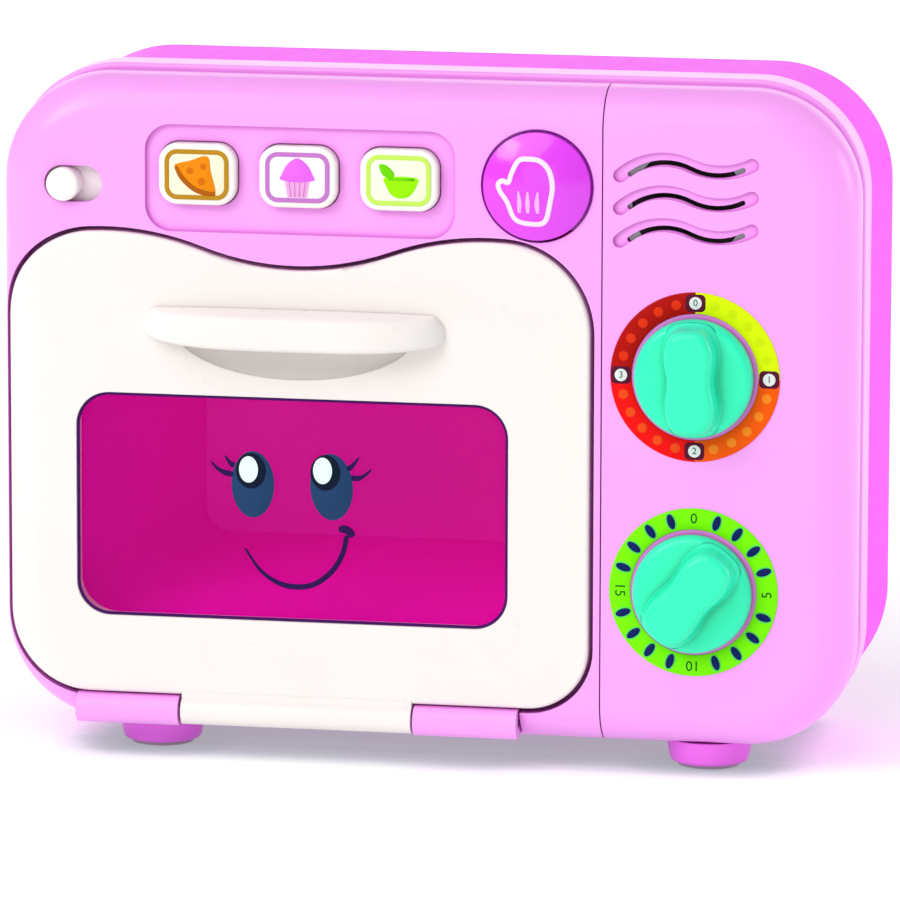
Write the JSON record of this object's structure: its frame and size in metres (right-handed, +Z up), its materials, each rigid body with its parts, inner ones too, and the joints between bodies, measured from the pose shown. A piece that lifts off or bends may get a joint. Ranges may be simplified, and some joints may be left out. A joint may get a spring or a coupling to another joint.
{
  "type": "toy oven",
  "caption": "Free-standing pink toy oven with a drop-down door, clear window, hollow cooking space, turning mint knobs, push buttons and a slide switch.",
  "frame": {"origin": "middle of the oven's box in X and Y, on the table (Z = 0)", "axes": "+X to the right as you face the oven, +Z up, the door faces -Y"},
  "size_m": [0.2776, 0.119, 0.2218],
  "materials": {
    "body_pink": "smooth moulded, soft sheen",
    "shell_pink": "smooth moulded, soft sheen",
    "cavity_magenta": "smooth moulded, deep magenta",
    "door_white": "smooth moulded off-white",
    "window_clear": "clear moulded styrene pane",
    "print_navy": "pad-printed ink",
    "print_pale_pink": "pad-printed ink",
    "label_print": "printed label, satin",
    "dial_print": "printed label, satin",
    "button_white": "smooth moulded off-white",
    "button_magenta": "smooth moulded, bright",
    "knob_mint": "smooth moulded mint green",
    "foot_pink": "smooth moulded",
    "pad_rubber": "soft, matt",
    "keypad_rubber": "moulded silicone",
    "inner_white": "moulded, low sheen",
    "inner_black": "moulded, low sheen",
    "switch_black": "moulded component plastic",
    "switch_metal": "pressed sheet",
    "pin_steel": "drawn bar, plain",
    "spring_steel": "nickel plated",
    "screw_steel": "zinc plated",
    "magnet_dark": "sintered ferrite",
    "speaker_metal": "pressed and plated",
    "speaker_paper": "pressed paper, fibrous",
    "board_green": "solder mask",
    "cell_metal": "plain printed sleeve",
    "wire_red": "PVC sleeve",
    "wire_black": "PVC sleeve"
  },
  "bodies": {
    "housing": {"front_frame": "body_pink", "control_panel": "body_pink", "middle_band": "body_pink", "rear_housing": "shell_pink", "oven_cavity": "cavity_magenta", "hinge_knuckle_left": "body_pink", "hinge_knuckle_right": "body_pink", "hinge_pin": "pin_steel", "door_magnet": "magnet_dark", "button_keypad": "keypad_rubber", "mitten_switch": "switch_black", "slide_switch": "switch_metal", "temperature_dial": "dial_print", "timer_dial": "dial_print", "detent_springs": "spring_steel", "circuit_board": "board_green", "board_components": "switch_black", "board_screws": "screw_steel", "speaker_frame": "speaker_metal", "speaker_cone": "speaker_paper", "speaker_magnet": "magnet_dark", "battery_box": "inner_black", "batteries": "cell_metal", "battery_springs": "spring_steel", "battery_plates": "spring_steel", "battery_cover": "shell_pink", "battery_cover_screw": "screw_steel", "battery_wire_red": "wire_red", "battery_wire_black": "wire_black", "housing_screws": "screw_steel", "foot_front_left": "foot_pink", "foot_front_right": "foot_pink", "foot_rear_left": "foot_pink", "foot_rear_right": "foot_pink", "foot_pads": "pad_rubber"},
    "door": {"door_outer_panel": "door_white", "door_inner_panel": "door_white", "door_screws": "screw_steel", "door_window": "window_clear", "window_face_print": "print_navy", "door_handle": "door_white", "handle_screws": "screw_steel", "magnet_plate": "pin_steel"},
    "temperature_control": {"temperature_knob": "knob_mint", "temperature_detent_wheel": "inner_white", "temperature_knob_screw": "screw_steel"},
    "timer_control": {"timer_knob": "knob_mint", "timer_detent_wheel": "inner_white", "timer_knob_screw": "screw_steel"},
    "pizza_key": {"pizza_button": "button_white", "pizza_label": "label_print"},
    "cake_key": {"cake_button": "button_white", "cake_label": "label_print"},
    "salad_key": {"salad_button": "button_white", "salad_label": "label_print"},
    "mitten_key": {"mitten_button": "button_magenta", "mitten_icon": "print_pale_pink"},
    "power_switch": {"power_slider": "button_white", "switch_lever": "switch_black"}
  },
  "joints": [
    {"name": "door_hinge", "type": "hinge", "parent": "housing", "child": "door", "pos_m": [-0.0408, -0.0425, 0.0146], "axis": [1, 0, 0], "range_deg": [0, 90]},
    {"name": "temperature_turn", "type": "hinge", "parent": "housing", "child": "temperature_control", "pos_m": [0.088, -0.0445, 0.1294], "axis": [0, 1, 0], "continuous": true},
    {"name": "timer_turn", "type": "hinge", "parent": "housing", "child": "timer_control", "pos_m": [0.088, -0.0445, 0.0602], "axis": [0, 1, 0], "continuous": true},
    {"name": "pizza_press", "type": "slide", "parent": "housing", "child": "pizza_key", "axis": [0, 1, 0], "range_m": [0, 0.0018], "stiffness_N_per_m": 900},
    {"name": "cake_press", "type": "slide", "parent": "housing", "child": "cake_key", "axis": [0, 1, 0], "range_m": [0, 0.0018], "stiffness_N_per_m": 900},
    {"name": "salad_press", "type": "slide", "parent": "housing", "child": "salad_key", "axis": [0, 1, 0], "range_m": [0, 0.0018], "stiffness_N_per_m": 900},
    {"name": "mitten_press", "type": "slide", "parent": "housing", "child": "mitten_key", "axis": [0, 1, 0], "range_m": [0, 0.0025], "stiffness_N_per_m": 900},
    {"name": "power_slide", "type": "slide", "parent": "housing", "child": "power_switch", "axis": [1, 0, 0], "range_m": [0, 0.006]}
  ]
}
